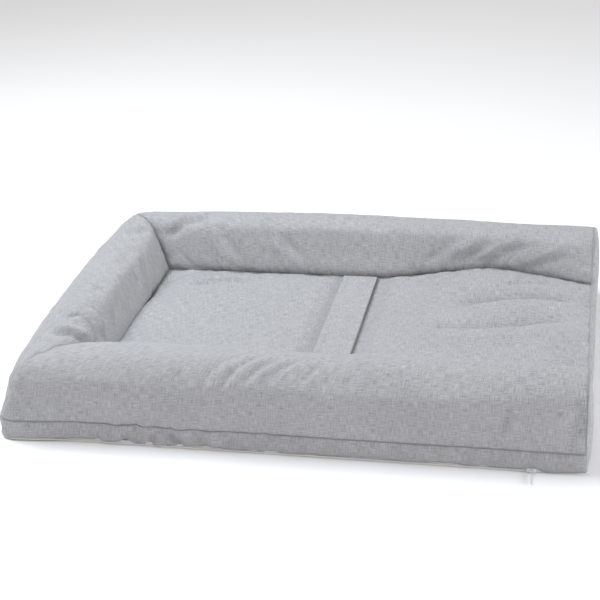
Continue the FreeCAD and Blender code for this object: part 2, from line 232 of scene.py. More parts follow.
def soften(x, y, z):
    """The stuffed shape's departures from straight: crowned rims, drooping corners, leaning head wall."""
    lift = smooth((z - SEAM_Z) / (CREST_Z - SEAM_Z))
    middle = 1 - ((x + 0.02) / 0.36) ** 2
    side = 0.0035 * middle if y < 0 else 0.0125 * middle - 0.002
    head = 0.004 * (1 - (y / 0.25) ** 2)
    share = smooth((abs(y) - 0.10) / 0.08)
    in_head, in_side = x - HEAD_X, min(y - NEAR_Y, FAR_Y - y)
    mitre = math.exp(-(((in_head - in_side) / 0.028) ** 2)) * smooth((0.10 - max(in_head, in_side)) / 0.04)
    droop = 0.006 * smooth(1 - in_head / 0.17) * share * (1 if y < 0 else 0.3)
    z_new = z + lift * (side * share + head * (1 - share) - 0.005 * mitre - droop)
    flare = NEAR_FLARE * smooth(1 - in_head / (0.095 + 0.125 * lift)) * smooth((-y - 0.05) / 0.12)
    toe = FOOT_FLARE * smooth(1 - (FOOT_X - x) / 0.05) * smooth((-y - 0.10) / 0.10)
    return (x + head_lean(x, z) + toe, y - flare, z_new)


def side_point(side, s, u, z):
    """A point of a rim: s runs 0 to 1 along it, u is the distance in from its outer wall."""
    if side == "head":
        half = FAR_Y - u
        y = -half + 2 * half * s
        a, b = u, min(y - NEAR_Y, FAR_Y - y)
        a, b = round_corner(a, b, u)
        y = NEAR_Y + b if s < 0.5 else FAR_Y - b
        return soften(HEAD_X + a, y, z)
    foot = FOOT_X - FOOT_ROUND
    t = s if side == "near" else 1 - s
    x = foot + (HEAD_X + u - foot) * t
    a, b = round_corner(x - HEAD_X, u, u)
    y = NEAR_Y + b if side == "near" else FAR_Y - b
    return soften(HEAD_X + a, y, z)


def band_bottom(x, y):
    """Height of the cover's lower edge: half over the zip, and down to the floor past the zip's end."""
    wave = 0.0022 * noise.noise(Vector((x * 26, y * 26, 3.0)))
    past = smooth((x - ZIP_END_X + 0.004) / 0.008)
    over_slider = smooth(1 - abs(x - SLIDER_X) / 0.020)
    low = max(ZIP_TOP_Z - 0.0014 + wave, 0.0034)
    low += (ZIP_TOP_Z + 0.0002 - low) * over_slider
    foot = 0.0008 + FOOT_LIFT * smooth((x - FOOT_X + 0.050) / 0.048)
    return low * (1 - past) + foot * past


def stations(length):
    """Values from 0 to 1 that divide a length into grid steps."""
    return np.linspace(0, 1, round(length / STEP) + 1)


class Grids:
    """Collects the panels' grids, which are then welded along their shared edges."""

    def __init__(self):
        self.verts, self.faces, self.panel, self.cloth_uv = [], [], [], []

    def add(self, panel, points, uv):
        """A panel's points in rows and columns, with their places on the flat cloth."""
        rows, columns = points.shape[:2]
        start = len(self.verts)
        self.verts.extend(points.reshape(-1, 3).tolist())
        self.cloth_uv.extend(uv.reshape(-1, 2).tolist())
        for i in range(rows - 1):
            for j in range(columns - 1):
                k = start + i * columns + j
                self.faces.append((k, k + 1, k + columns + 1, k + columns))
                self.panel.append(PANELS.index(panel))

    def build(self, name):
        """One mesh of all the grids, whose material index tells the panels apart."""
        obj = new_object(name, self.verts, self.faces)
        mesh = obj.data
        layer = mesh.uv_layers.new(name="Cloth")
        for loop in mesh.loops:
            layer.data[loop.index].uv = self.cloth_uv[loop.vertex_index]
        for polygon, panel in zip(mesh.polygons, self.panel):
            polygon.material_index = panel
        return obj


def add_side(grids, side, profile, uv_shift):
    """One rim panel and the band below it."""
    run = FAR_Y - NEAR_Y if side == "head" else FOOT_X - HEAD_X
    s_values = stations(run)
    down = lengths_along(profile)
    points = [[side_point(side, s, u, z) for s in s_values] for u, z in profile]
    uv = [[(s * run + uv_shift, v) for s in s_values] for v in down]
    grids.add(f"{side}_rim", np.array(points), np.array(uv))
    rows, uv_rows = [], []
    for k in range(BAND_ROWS + 1):
        share = k / BAND_ROWS
        row = []
        for s in s_values:
            x, y, top = side_point(side, s, 0.0, SEAM_Z)
            z = top + (band_bottom(x, y) - top) * share
            flare = BAND_FLARE * float(smooth((0.012 - z) / 0.008)) * (x < ZIP_END_X)
            x, y, _ = side_point(side, s, -flare, z)
            row.append((x, y, z))
        rows.append(row)
        uv_rows.append([(s * run + uv_shift, -SEAM_Z * share) for s in s_values])
    grids.add(f"{side}_band", np.array(rows), np.array(uv_rows))
    return np.array(points), np.array(rows)


def offset_inward(line, distance):
    """A line of (y, z) points moved to its right-hand side, into the pad."""
    before = np.vstack([line[1] - line[0], np.diff(line, axis=0)])
    after = np.vstack([np.diff(line, axis=0), line[-1] - line[-2]])
    tangent = unit(unit(before) + unit(after))
    normal = np.stack([tangent[:, 1], -tangent[:, 0]], 1)
    square_to_next = np.stack([unit(after)[:, 1], -unit(after)[:, 0]], 1)
    cosine = np.clip((normal * square_to_next).sum(1), 0.6, 1)
    return line + normal * (distance / cosine)[:, None]


def add_foot_end(grids, edge, wall_count):
    """The end panel: it rounds over from the edge seam and closes the foot end."""
    line = edge[:, 1:]
    rings = [edge]
    turns = [math.radians(a) for a in (30, 60, 90)]
    for turn in turns:
        inset = offset_inward(line, FOOT_ROUND * (1 - math.cos(turn)))
        inset[[0, -1], 1] = line[[0, -1], 1]
        x = FOOT_X - FOOT_ROUND + FOOT_ROUND * math.sin(turn)
        rings.append(np.column_stack([np.full(len(inset), x), inset]))
    rings = np.array(rings)
    grids.add("foot_end", rings, rings[:, :, 1:])
    last = rings[-1]
    near_wall = last[:wall_count]
    far_wall = last[-wall_count:][::-1]
    top = last[wall_count - 1 : len(last) - wall_count + 1]
    rows = []
    floor, wall_top = near_wall[0, 2], near_wall[-1, 2]
    for k in range(wall_count):
        fraction = (near_wall[k, 2] - floor) / (wall_top - floor)
        row = np.array([(p[0], p[1], floor + (p[2] - floor) * fraction) for p in top])
        row[0], row[-1] = near_wall[k], far_wall[k]
        rows.append(row)
    rows = np.array(rows)
    grids.add("foot_end", rows[:, ::-1], rows[:, ::-1, 1:])


def cover_grid():
    """The whole cover above the underside, as one welded mesh whose material index is its panel."""
    grids = Grids()
    profile = rim_profile()
    near, near_band = add_side(grids, "near", profile, 0.0)
    head, _ = add_side(grids, "head", profile, 0.9)
    far, far_band = add_side(grids, "far", profile, 1.8)
    near_crease, far_crease = near[-1], far[-1][::-1]
    across = stations(FAR_Y - NEAR_Y)
    centre = np.array([[a + (b - a) * t for t in across] for a, b in zip(near_crease, far_crease)])
    grids.add("centre", centre, centre[:, :, :2])
    near_edge = np.vstack([near_band[::-1, 0], near[1:, 0]])
    far_edge = np.vstack([far_band[::-1, -1], far[1:, -1]])[::-1]
    edge = np.vstack([near_edge, centre[0, 1:-1], far_edge])
    wall_rows = int(np.argmax(profile[:, 0] > 1e-6))
    add_foot_end(grids, edge, BAND_ROWS + wall_rows)
    cover = grids.build("cover")
    work = bmesh.new()
    work.from_mesh(cover.data)
    bmesh.ops.remove_doubles(work, verts=work.verts, dist=WELD)
    bmesh.ops.recalc_face_normals(work, faces=work.faces)
    crest = max(work.faces, key=lambda f: f.calc_center_median().z)
    if crest.normal.z < 0:
        bmesh.ops.reverse_faces(work, faces=work.faces)
    work.to_mesh(cover.data)
    work.free()
    return cover


def panels_by_vertex(obj):
    """For every vertex, the panels that meet there."""
    panels = [set() for _ in obj.data.vertices]
    for polygon in obj.data.polygons:
        for v in polygon.vertices:
            panels[v].add(polygon.material_index)
    return panels


def open_edge(obj):
    """The vertices on the cover's open lower edge."""
    uses = {}
    for polygon in obj.data.polygons:
        for key in polygon.edge_keys:
            uses[key] = uses.get(key, 0) + 1
    return {v for key, count in uses.items() if count == 1 for v in key}


def seam_vertices(obj):
    """Vertices where two panels meet, and those on the open edge."""
    seam = {v for v, owners in enumerate(panels_by_vertex(obj)) if len(owners) > 1}
    return sorted(seam | open_edge(obj))


# ---- cloth simulation ----
def simulate(obj, pinned):
    """Swells and wrinkles the cover with Blender's cloth, held at the pinned vertices."""
    rest = coordinates(obj)
    group = obj.vertex_groups.new(name="held")
    group.add(pinned, 1.0, "REPLACE")
    cloth = obj.modifiers.new("cloth", "CLOTH")
    s = cloth.settings
    s.quality = 5
    s.mass = 0.2
    s.tension_stiffness = s.compression_stiffness = 12
    s.shear_stiffness = 4
    s.bending_stiffness = 0.05
    s.vertex_group_mass = "held"
    s.pin_stiffness = 1.0
    s.shrink_min = -CLOTH_GROWTH
    s.shrink_max = -CLOTH_GROWTH
    s.use_pressure = True
    s.uniform_pressure_force = CLOTH_PRESSURE
    s.effector_weights.gravity = 0
    cloth.collision_settings.use_collision = False
    scene = bpy.context.scene
    scene.frame_start, scene.frame_end = 1, CLOTH_FRAMES
    for frame_number in range(1, CLOTH_FRAMES + 1):
        scene.frame_set(frame_number)
    graph = bpy.context.evaluated_depsgraph_get()
    done = obj.evaluated_get(graph).to_mesh()
    co = np.empty(len(done.vertices) * 3)
    done.vertices.foreach_get("co", co)
    obj.modifiers.clear()
    obj.vertex_groups.clear()
    scene.frame_set(1)
    move = co.reshape(-1, 3) - rest
    far = np.linalg.norm(move, axis=1)[:, None] + 1e-9
    set_coordinates(obj, rest + move / far * CLOTH_REACH * np.tanh(far / CLOTH_REACH))


# ---- folds, puckers and seams ----
# Each kind of seam: its name, the reach of the painted shade along it in metres, and how dark that painted
# shade is.
SEAM_SHADES = [("band", 0.0012, 0.9), ("mitre", 0.0016, 0.75), ("crease", 0.0028, 1.0)]
SEAM_SHADES += [("foot", 0.0011, 0.45), ("hem", 0.0010, 0.6)]


def seam_kind(owners, is_edge):
    """Which kind of seam a vertex is on, from the panels that meet there."""
    names = {PANELS[i] for i in owners}
    if "foot_end" in names:
        return "foot"
    if is_edge:
        return "hem"
    if "centre" in names:
        return "crease"
    if len({n.split("_")[1] for n in names}) == 2:
        return "band"
    return "mitre"


def seam_distances(obj):
    """For every vertex, its distance to the nearest seam of each kind."""
    edge = open_edge(obj)
    found = {kind: [] for kind, _, _ in SEAM_SHADES}
    for v, owners in enumerate(panels_by_vertex(obj)):
        if len(owners) > 1 or v in edge:
            found[seam_kind(owners, v in edge)].append(v)
    co = coordinates(obj)
    result = {}
    for kind, vertices in found.items():
        tree = KDTree(len(vertices))
        for i, v in enumerate(vertices):
            tree.insert(co[v], i)
        tree.balance()
        result[kind] = np.array([tree.find(p)[2] for p in co])
    return result


def cloth_coordinates(obj):
    """Each vertex's place along and across the cloth."""
    layer = obj.data.uv_layers["Cloth"].data
    uv = np.zeros((len(obj.data.vertices), 2))
    for loop in obj.data.loops:
        uv[loop.vertex_index] = layer[loop.index].uv
    return uv


def fold_shift(co, normal, line, width, depth, lean=0):
    """A sewn-in crease along a line: a valley with a raised shoulder on one side or both."""
    best = np.full(len(co), 1e9)
    side = np.zeros(len(co))
    run = np.zeros(len(co))
    total = lengths_along(line)
    for k in range(len(line) - 1):
        a, b = line[k], line[k + 1]
        t = np.clip(((co - a) @ (b - a)) / ((b - a) @ (b - a)), 0, 1)
        off = co - (a + t[:, None] * (b - a))
        above = (off * normal).sum(1)
        d = np.linalg.norm(off - above[:, None] * normal, axis=1)
        d = d + 2 * np.maximum(0, np.abs(above) - 0.02)
        nearer = d < best
        best = np.where(nearer, d, best)
        turn = (np.cross(np.broadcast_to(b - a, off.shape), off) * normal).sum(1)
        side = np.where(nearer, np.sign(turn), side)
        run = np.where(nearer, (total[k] + t * (total[k + 1] - total[k])) / total[-1], run)
    fade = smooth(run / 0.25) * smooth((1 - run) / 0.25)
    valley = np.exp(-((best / width) ** 2))
    shoulder = np.exp(-(((best - 2.0 * width) / (1.4 * width)) ** 2))
    share = 0.5 if lean == 0 else np.where(side == lean, 1.0, 0.0)
    return depth * fade * (0.9 * shoulder * share - valley)


# Each fold: points on the cover, half-width, depth, all in millimetres, and the side that stands up.
FOLDS = [
    ([(110, -8, 52), (200, 0, 52), (251, 14, 52), (330, 46, 52)], 17, 12.5, -1),
    ([(150, -4, 52), (200, 0, 52), (251, 14, 52), (325, 44, 52)], 4.6, 4, -1),
    ([(150, 60, 54), (225, 88, 54), (270, 96, 54), (344, 102, 52)], 14, 10, -1),
    ([(190, 72, 54), (225, 88, 54), (270, 96, 54), (338, 102, 52)], 4.4, 3, -1),
    ([(215, 122, 60), (262, 128, 58), (304, 140, 54)], 4.6, 3.4, 1),
    ([(150, 172, 74), (186, 180, 88), (218, 190, 104)], 6, 2.8, 1),
    ([(186, 170, 70), (222, 178, 86), (262, 188, 102)], 6.4, 3, 1),
    ([(240, 168, 64), (276, 174, 78), (322, 180, 90)], 6, 2.4, 1),
    ([(110, 170, 70), (140, 180, 90), (158, 190, 106)], 6.4, 1.8, -1),
    ([(-60, 167, 66), (-85, 180, 92), (-90, 188, 104)], 7, 1.8, 1),
    ([(-150, 168, 66), (-180, 182, 96), (-186, 196, 112)], 7.4, 2.0, 1),
    ([(-266, 180, 90), (-240, 192, 106), (-200, 198, 112)], 6, 5, 1),
    ([(-290, 160, 102), (-300, 146, 110), (-326, 142, 116)], 6, 4.2, -1),
    ([(-268, -152, 64), (-282, -128, 92), (-296, -122, 106), (-314, -140, 114)], 5.6, 7, 1),
    ([(-268, -110, 70), (-284, -90, 96), (-304, -78, 113)], 5.6, 5.2, 1),
    ([(-276, -162, 86), (-290, -168, 104), (-314, -180, 114)], 5.2, 5, -1),
    ([(-270, -60, 74), (-288, -48, 104), (-310, -36, 117)], 5.6, 3.2, 1),
    ([(-268, 40, 68), (-284, 54, 98), (-300, 70, 113)], 6, 3, -1),
    ([(-268, -10, 66), (-280, -4, 86), (-296, 10, 108)], 5, 2.4, 1),
    ([(30, -206, 117), (-4, -232, 112), (-26, -248, 92)], 3.8, 2, 1),
    ([(0, -208, 117), (-34, -236, 110), (-58, -249, 84)], 4, 2.3, 1),
    ([(-30, -210, 117), (-62, -238, 109), (-84, -250, 76)], 3.8, 2, 1),
    ([(60, -208, 118), (32, -234, 112), (12, -249, 90)], 3.8, 1.9, 1),
    ([(-58, -214, 116), (-92, -241, 106), (-108, -250, 70)], 4.4, 1.9, 1),
    ([(102, -210, 118), (80, -236, 110), (68, -249, 88)], 4.4, 1.7, 1),
    ([(150, -212, 117), (134, -238, 108), (126, -249, 90)], 4.4, 1.4, 1),
    ([(262, -250, 90), (256, -251, 66), (250, -251, 46)], 4.6, 1.8, 1),
    ([(-176, -250, 50), (-186, -251, 36), (-192, -251, 18)], 5.2, 1.8, 1),
    ([(-150, -252, 21), (-138, -252, 12), (-130, -251, 0)], 5.5, 3, 1),
    ([(-196, -252, 21), (-204, -252, 12), (-208, -251, 0)], 5.5, 3, -1),
    ([(-168, -252, 21), (-172, -252, 12), (-174, -251, 0)], 4.6, 2.2, 1),
    ([(-112, -252, 21), (-104, -252, 12), (-100, -251, 0)], 5.5, 2.4, 1),
    ([(-235, -252, 21), (-240, -252, 12), (-238, -251, 0)], 5.5, 2, 1),
    ([(-200, -120, 52), (-150, -138, 52), (-100, -150, 52)], 5, 3.6, 1),
    ([(-225, 80, 52), (-170, 110, 52), (-105, 120, 52)], 5.2, 3.4, 1),
    ([(348, -74, 50), (322, -58, 52), (290, -36, 53)], 5.4, 4.4, 1),
    ([(348, -104, 50), (326, -92, 52), (300, -78, 53)], 4.8, 3.4, 1),
    ([(348, -30, 50), (324, -10, 52), (304, 0, 53)], 4.8, 3, 1),
    ([(348, -134, 50), (330, -126, 52), (312, -118, 53)], 4.4, 2.6, 1),
]

# Places where the cloth is drawn into fine parallel wrinkles: centre, reach, direction of the
# wrinkles, their spacing and depth, in millimetres.
WRINKLES = [
    ((10, -232, 108), 120, (-0.52, -0.48, -0.70), 15, 1.1),
    ((-200, -215, 112), 90, (-0.60, -0.55, -0.55), 16, 0.7),
    ((230, 178, 82), 110, (0.78, 0.30, 0.55), 15, 1.3),
    ((-120, 182, 90), 120, (-0.55, 0.40, 0.75), 17, 1),
    ((-288, -120, 96), 80, (-0.60, 0.50, 0.60), 15, 1.4),
    ((-285, 90, 92), 90, (-0.50, 0.45, 0.70), 16, 1),
    ((330, 20, 52), 100, (-0.85, 0.52, 0.05), 22, 1.6),
    ((330, -110, 52), 80, (-0.85, 0.45, 0.05), 20, 1.5),
    ((260, 110, 60), 80, (0.95, 0.25, 0.00), 24, 1.0),
    ((-165, -250, 10), 70, (0.15, 0.00, -1.00), 14, 1.4),
]


# The wadding's heap against the far rim: its height above the lying surface along the pad.
HEAP_X = [0.060, 0.110, 0.200, 0.240, 0.300, 0.350]
HEAP_RISE = [0.0, 0.006, 0.018, 0.016, 0.009, 0.003]


def lift_far_crease(co):
    """The wadding heaps up along the far rim on the foot side, and carries the crease up the slope."""
    x, y, z = co.T
    along = np.interp(x, HEAP_X, HEAP_RISE)
    lying = (y <= CREASE_Y + 0.0005) & (z < LYING_Z + 0.02)
    slope = (y > CREASE_Y + 0.0005) & (y < FAR_Y - CREST_OUTER_R) & (z > LYING_Z - 0.01)
    back = CREASE_Y - y
    on_slope = np.where(slope, smooth(1 - (z - LYING_Z) / 0.055), 0)
    rise = np.where(lying, smooth(1 - back / 0.100), 0) + on_slope
    shift = np.where(lying, smooth(1 - back / 0.045), 0) + on_slope
    co[:, 1] += 0.60 * along * shift
    co[:, 2] += along * rise
    return co


def wrinkle_shift(co, centre, reach, direction, spacing, depth, seed):
    """Fine creases running one way, strongest at their centre; sizes in millimetres."""
    d = np.array(direction) / np.linalg.norm(direction)
    squeezed = co - 0.80 * (co @ d)[:, None] * d
    value = noise_at(squeezed, spacing / 1000, seed)
    lines = -np.exp(-((value / 0.16) ** 2)) + 0.5 * value
    away = np.linalg.norm(co * 1000 - np.array(centre), axis=1) / reach
    return depth / 1000 * lines * smooth(1 - away)


def puff_lying_surface(co, far_from_crease, far_from_foot):
    """The wadding lifts the lying surface between its seams, except where the belt presses on it."""
    room = smooth(np.minimum(far_from_crease, far_from_foot) / 0.050)
    belt = smooth((np.abs(co[:, 0] - BELT_X) - 0.026) / 0.060)
    foot = smooth((co[:, 0] - 0.08) / 0.10)
    uneven = 0.0022 * noise_at(co, 0.065, 9) * (0.6 + foot)
    return room * belt * (0.0042 + 0.0030 * foot + uneven)


def beside_belt(co):
    """Each point's distance from the belt's nearer edge, along the pad; less than 0 under it."""
    return np.abs(co[:, 0] - BELT_X) - (BELT_X1 - BELT_X0) / 2


def belt_bed(co, lying):
    """The rims lie a little flatter behind the belt, where it folds back against them."""
    slope = ~lying & (np.abs(co[:, 1]) > CREASE_Y) & (np.abs(co[:, 1]) < FAR_Y - CREST_OUTER_R)
    above_crease = smooth((co[:, 2] - LYING_Z - 0.006) / 0.030)
    return np.where(slope, 0.0025 * above_crease * smooth(1 - (beside_belt(co) - 0.004) / 0.045), 0)


def press_under_belt(co, lying):
    """Keeps the lying surface below the belt."""
    ceiling = LYING_Z + 0.0001 + 0.020 * smooth((beside_belt(co) - 0.002) / 0.060)
    return np.where(lying, np.minimum(co[:, 2], ceiling), co[:, 2])


def seam_gathers(co, distance, along, across):
    """The small gathers that the sewing leaves beside each kind of seam."""
    fine = noise_at(along, 0.0100, 3)
    medium = noise_at(along, 0.024, 4)
    shift = np.exp(-distance["band"] / 0.008) * 0.0006 * fine
    shift += np.exp(-distance["hem"] / 0.010) * (0.0004 * fine + 0.0010 * medium)
    off_belt = smooth((np.abs(co[:, 0] - BELT_X) - 0.030) / 0.030)
    shift += off_belt * np.exp(-distance["crease"] / 0.016) * (0.0012 * fine + 0.0018 * medium)
    by_foot = np.exp(-distance["foot"] / 0.024) * (co[:, 0] < FOOT_X - FOOT_ROUND)
    slanted = np.column_stack([0.40 * co[:, 0] + co[:, 1], co[:, 2], 0.15 * co[:, 0]])
    shift += by_foot * (0.0020 * noise_at(slanted, 0.0105, 5) + 0.0012 * noise_at(slanted, 0.024, 6))
    by_mitre = np.exp(-distance["mitre"] / 0.018)
    shift += by_mitre * (0.0008 * fine + 0.0018 * noise_at(across, 0.018, 7))
    return shift


def seam_valleys(distance):
    """How deep each seam draws the cloth in."""
    valley = 0.0006 * np.exp(-((distance["band"] / 0.0022) ** 2))
    valley += 0.0021 * np.exp(-((distance["mitre"] / 0.0034) ** 2))
    valley += 0.0018 * np.exp(-((distance["crease"] / 0.0036) ** 2))
    valley += 0.0002 * np.exp(-((distance["foot"] / 0.0024) ** 2))
    return valley


def lying_vertices(obj):
    """True for every vertex of the lying surface."""
    lying = np.zeros(len(obj.data.vertices), bool)
    for polygon in obj.data.polygons:
        if polygon.material_index == PANELS.index("centre"):
            lying[list(polygon.vertices)] = True
    return lying


def store_seam_shade(obj, distance):
    """Keeps, for the material, how much painted shade each vertex gets from the seam beside it."""
    shade = np.zeros(len(obj.data.vertices))
    for kind, reach, tone in SEAM_SHADES:
        shade = np.maximum(shade, tone * np.exp(-((distance[kind] / reach) ** 2)))
    layer = obj.data.attributes.new("seam_shade", "FLOAT", "POINT")
    layer.data.foreach_set("value", shade.astype(np.float32))


def sculpt(obj):
    """Adds what the simulation is too coarse for: seam valleys, gathers, folds and uneven filling."""
    distance = seam_distances(obj)
    lying = lying_vertices(obj)
    set_coordinates(obj, lift_far_crease(coordinates(obj)))
    co, normal = coordinates(obj), normals(obj)
    cloth = cloth_coordinates(obj)
    along = np.column_stack([cloth[:, 0], 0.22 * cloth[:, 1], np.zeros(len(co))])
    across = np.column_stack([0.22 * cloth[:, 0], cloth[:, 1], np.zeros(len(co))])
    outer = np.maximum(np.abs(co[:, 1]) - FAR_Y, HEAD_X - co[:, 0]) > -0.030
    distance["mitre"] += np.where(outer, 0.012 * smooth((0.108 - co[:, 2]) / 0.016), 0.0)
    shift = 0.0012 * noise_at(co, 0.085, 1) + 0.0004 * noise_at(co, 0.028, 2)
    shift += np.where(lying, puff_lying_surface(co, distance["crease"], distance["foot"]), 0)
    shift += seam_gathers(co, distance, along, across)
    for line, width, depth, lean in FOLDS:
        shift += fold_shift(co, normal, np.array(line) / 1000, width / 1000, depth / 1000, lean)
    for i, (centre, reach, direction, spacing, depth) in enumerate(WRINKLES):
        shift += wrinkle_shift(co, centre, reach, direction, spacing, depth, 20 + i)
    shift -= seam_valleys(distance) + belt_bed(co, lying)
    by_slider = smooth((co[:, 0] - 0.25) / 0.03) * (co[:, 1] < NEAR_Y + 0.01)
    shift *= 1 - 0.9 * np.exp(-distance["hem"] / 0.006) * by_slider
    moved = co + normal * shift[:, None]
    moved[:, 2] = np.maximum(press_under_belt(moved, lying), 0.0004)
    set_coordinates(obj, moved)
    store_seam_shade(obj, distance)


def split_panel(cover, index, name):
    """One panel of the cover as its own piece, with the cloth's thickness."""
    piece = bpy.data.objects.new(name, cover.data.copy())
    piece.data.name = name
    bpy.context.scene.collection.objects.link(piece)
    work = bmesh.new()
    work.from_mesh(piece.data)
    others = [f for f in work.faces if f.material_index != index]
    bmesh.ops.delete(work, geom=others, context="FACES")
    for face in work.faces:
        face.material_index = 0
    work.to_mesh(piece.data)
    work.free()
    add_thickness(piece, CLOTH, -1)
    return piece


# ---- swept strips: piping, zip tapes and coils ----
def resample(line, step):
    """The same line with evenly spaced points."""
    total = lengths_along(line)
    n = max(2, round(total[-1] / step))
    at = np.linspace(0, total[-1], n + 1)
    return np.column_stack([np.interp(at, total, line[:, k]) for k in range(3)])


def sweep(name, line, outward, sections):
    """A closed strip along a line; each section is a loop of (out, up) offsets."""
    rings, size = len(line), len(sections[0])
    up = unit(np.cross(unit(np.gradient(line, axis=0)), outward))
    verts = []
    for i in range(rings):
        for out, rise in sections[i % len(sections)]:
            verts.append(line[i] + outward[i] * out + up[i] * rise)
    faces = []
    for i in range(rings - 1):
        for j in range(size):
            k, m = i * size + j, i * size + (j + 1) % size
            faces.append((k, m, m + size, k + size))
    faces.append(tuple(range(size)))
    faces.append(tuple(range((rings - 1) * size, rings * size))[::-1])
    piece = new_object(name, verts, faces)
    face_outward(piece)
    shade_smooth(piece)
    return piece


def oval(out, up, half_out, half_up, count):
    """An oval section of a strip, as (out, up) offsets."""
    turns = [2 * math.pi * k / count for k in range(count)]
    return [(out + half_out * math.cos(t), up + half_up * math.sin(t)) for t in turns]


def zip_line(z):
    """The line of the zip round the near, head and far sides, at one height."""
    line = []
    for side in ("near", "head", "far"):
        for s in stations(FOOT_X - HEAD_X):
            x, y, _ = side_point(side, s, 0.0, z)
            if x <= ZIP_END_X and (not line or math.dist(line[-1][:2], (x, y)) > 0.001):
                line.append((x, y, z))
    return np.array([(ZIP_END_X, NEAR_Y, z)] + line + [(ZIP_END_X, FAR_Y, z)])


def flat_outward(line):
    """Level directions away from the pad, square to a line round it."""
    tangent = np.gradient(line, axis=0)
    out = unit(np.column_stack([-tangent[:, 1], tangent[:, 0], np.zeros(len(line))]))
    return -out if out[2, 1] > 0 else out


def zip_strip(name, node, step, sections_for):
    """A strip of the zip at its node's height; sections_for gives its sections from their half height."""
    low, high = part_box(node)
    line = resample(zip_line((low.z + high.z) / 2), step)
    return sweep(name, line, flat_outward(line), sections_for((high.z - low.z) / 2))


def zip_pieces(materials):
    """The two tapes, and the two coils with their teeth."""
    def tape_sections(tall):
        return [oval(-0.0006, 0, 0.0004, tall, 6)]

    def coil_sections(tall):
        return [oval(0.0002, 0, r * 0.0007, r * tall, 6) for r in (1.0, 0.98, 0.62)]

    for half in ("upper", "lower"):
        node = f"zip_tape_{half}"
        tape = zip_strip(f"zip_{half}_tape", node, 0.004, tape_sections)
        finish_piece(tape, "pad", materials["tape"], [node])
        node = f"zip_coil_{half}"
        coil = zip_strip(f"zip_{half}_coil", node, 0.0007, coil_sections)
        finish_piece(coil, "pad", materials["coil"], [node])


def piping_piece(edge_line, material):
    """The thin raised seam along the end panel's upper edge."""
    line = resample(edge_line, 0.003)
    outward = np.tile([1.0, 0.0, 0.0], (len(line), 1))
    tangent = np.gradient(line, axis=0)
    away = unit(np.cross(tangent, outward))
    if away[len(away) // 2, 2] < 0:
        away = -away
    piece = sweep("foot_seam_roll", line + away * 0.0002, away, [oval(0, 0, 0.0008, 0.0008, 8)])
    finish_piece(piece, "pad", material, ["foot_seam_piping"])


# ---- belt ----
def soft_edge(distance, thick):
    """The share of its thickness that a strap has this far from an edge."""
    return math.sqrt(max(0.0, 1 - max(0.0, 1 - distance / (0.6 * thick)) ** 2))


def strap(name, y0, y1, height, thick, width, tip_r=0.0, hem=0.008, wave=0.0003, grain=0.0):
    """A flat strap along Y, with soft edges, raised hems and, if asked, a rounded tip at y1.
    The height is a number, or a function of y."""
    rows = max(3, round(abs(y1 - y0) / 0.003))
    columns = 26
    top, bottom = [], []
    for i in range(rows + 1):
        y = y0 + (y1 - y0) * i / rows
        z = height(y) if callable(height) else height
        to_tip = abs(y1 - y)
        narrow = tip_r - math.sqrt(max(0.0, tip_r**2 - max(0.0, tip_r - to_tip) ** 2))
        half = width / 2 - narrow
        end = min(abs(y - y0), abs(y1 - y))
        for j in range(columns + 1):
            across = -math.cos(math.pi * j / columns)
            x = BELT_X + half * across
            edge = half * (1 - abs(across))
            lip = soft_edge(edge, thick) * soft_edge(end, thick)
            groove = 0.13 * math.exp(-(((edge - hem) / 0.0009) ** 2)) if hem else 0.0
            sag = wave * noise.noise(Vector((x * 22, y * 22, width * 90)))
            rough = grain * noise.noise(Vector((x * 900, y * 900, 1.0)))
            rise = thick / 2 * lip * (1 - groove)
            top.append((x, y, z + sag + rise + rough * lip))
            bottom.append((x, y, z + sag - rise))
    size = len(top)
    faces = []
    for i in range(rows):
        for j in range(columns):
            k = i * (columns + 1) + j
            ahead = k + columns + 1
            faces.append((k, k + 1, ahead + 1, ahead))
            faces.append((size + k, size + ahead, size + ahead + 1, size + k + 1))
    piece = new_object(name, top + bottom, faces)
    uv = piece.data.uv_layers.new(name="Cloth")
    for loop in piece.data.loops:
        p = piece.data.vertices[loop.vertex_index].co
        uv.data[loop.index].uv = (p.y, p.x)
    face_outward(piece, weld=0.00002)
    shade_smooth(piece)
    return piece


def finish_piece(piece, body, material, nodes):
    """Gives a piece its material, files it under its body if it has one, and hides the CAD nodes it stands
    for.
    """
    piece.data.materials.clear()
    piece.data.materials.append(material)
    if body:
        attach(piece, body)
    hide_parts(*nodes)


def stitches(name, lines, material, body):
    """Rows of small sewn stitches along lines of points."""
    spacing, length, radius, sides = 0.0034, 0.0024, 0.00022, 5
    up = np.array([0, 0, 1.0])
    verts, faces = [], []
    for line in lines:
        line = np.array(line)
        total = lengths_along(line)
        for start in np.arange(0.001, total[-1] - length, spacing):
            a = np.array([np.interp(start, total, line[:, k]) for k in range(3)])
            b = np.array([np.interp(start + length, total, line[:, k]) for k in range(3)])
            side = np.cross((b - a) / np.linalg.norm(b - a), up)
            base = len(verts)
            for t, r in ((0.0, 0.35), (0.25, 1.0), (0.75, 1.0), (1.0, 0.35)):
                for k in range(sides):
                    turn = 2 * math.pi * k / sides
                    ring = side * math.cos(turn) + up * math.sin(turn)
                    verts.append(a + (b - a) * t + ring * r * radius)
            for i in range(3):
                here, ahead = base + i * sides, base + (i + 1) * sides
                for k in range(sides):
                    m = (k + 1) % sides
                    faces.append((here + k, here + m, ahead + m, ahead + k))
            faces.append(tuple(base + k for k in range(sides))[::-1])
            faces.append(tuple(base + 3 * sides + k for k in range(sides)))
    piece = new_object(name, verts, faces)
    shade_smooth(piece)
    piece.data.materials.append(material)
    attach(piece, body)


def from_crease(crease, turn, z):
    """A strap's height: it comes up out of the crease and reaches z a little past its turn."""
    start = LYING_Z - 0.001

    def height(y):
        return start + (z - start) * float(smooth(abs(crease - y) / (abs(crease - turn) * 2.2)))
    return height


